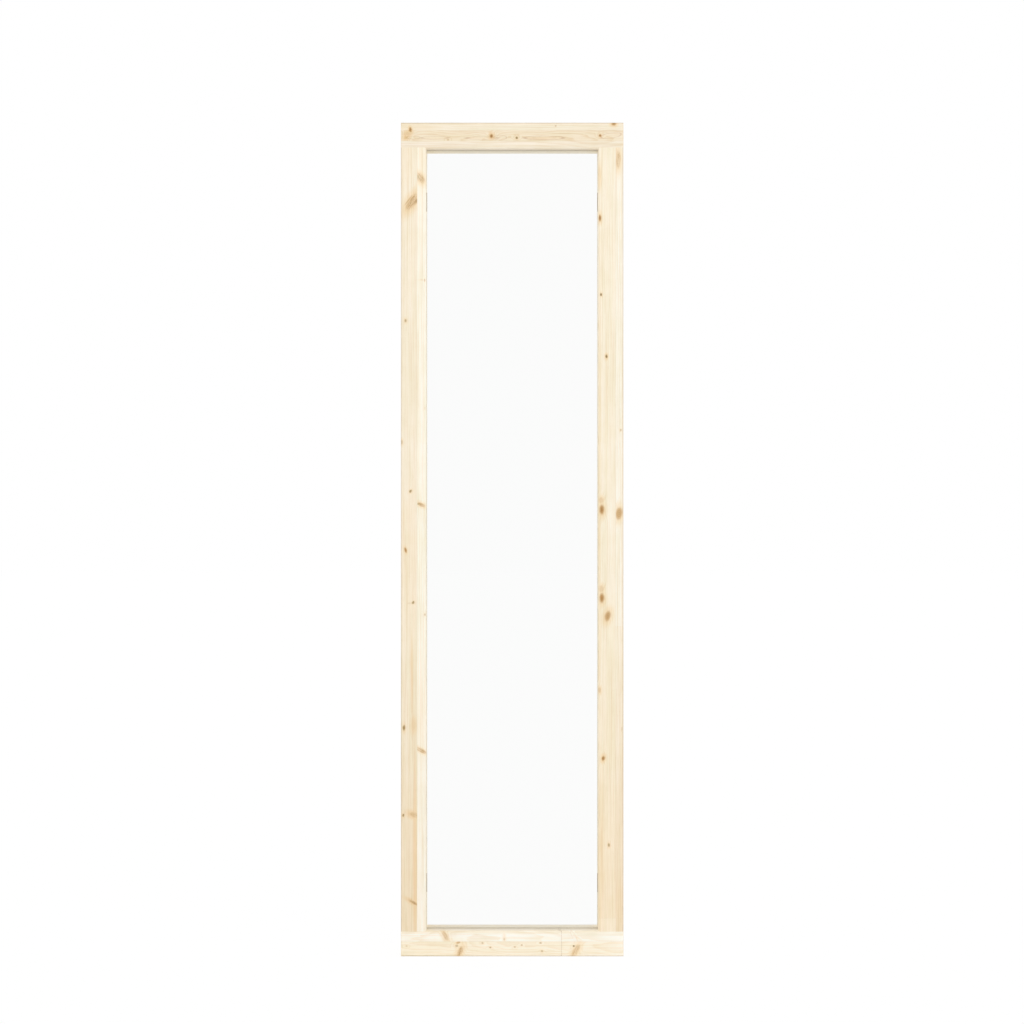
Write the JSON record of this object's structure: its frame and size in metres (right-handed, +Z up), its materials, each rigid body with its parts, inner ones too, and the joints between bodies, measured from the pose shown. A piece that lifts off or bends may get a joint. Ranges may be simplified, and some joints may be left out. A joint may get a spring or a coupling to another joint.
{
  "type": "fixed window",
  "caption": "Tall narrow fixed window: an untreated laminated pine frame round one pane of clear glass, held from the back by deep mitred beads.",
  "frame": {"origin": "middle of the bottom rail's underside, where the window stands on its sill or packers", "axes": "+Z up along the height, X along the width, -Y out of the front (weather) face and +Y out of the back, where the beads are"},
  "size_m": [0.59, 0.068, 2.21],
  "materials": {
    "pine": "untreated, planed and sanded, with knots",
    "clear_glass": "clear float glass",
    "foam_tape": "matte foam",
    "block_plastic": "matte",
    "pin_steel": "zinc-plated heads of the bead pins, which only the scene shows"
  },
  "bodies": {
    "root": {"left_stile": "pine", "right_stile": "pine", "top_rail": "pine", "bottom_rail": "pine", "glazing_bead_left": "pine", "glazing_bead_right": "pine", "glazing_bead_top": "pine", "glazing_bead_bottom": "pine", "glass_pane": "clear_glass", "outer_tape_left": "foam_tape", "outer_tape_right": "foam_tape", "outer_tape_top": "foam_tape", "outer_tape_bottom": "foam_tape", "inner_tape_left": "foam_tape", "inner_tape_right": "foam_tape", "inner_tape_top": "foam_tape", "inner_tape_bottom": "foam_tape", "setting_block_left": "block_plastic", "setting_block_right": "block_plastic", "top_block_left": "block_plastic", "top_block_right": "block_plastic", "side_block_left_lower": "block_plastic", "side_block_left_upper": "block_plastic", "side_block_right_lower": "block_plastic", "side_block_right_upper": "block_plastic"}
  },
  "joints": []
}
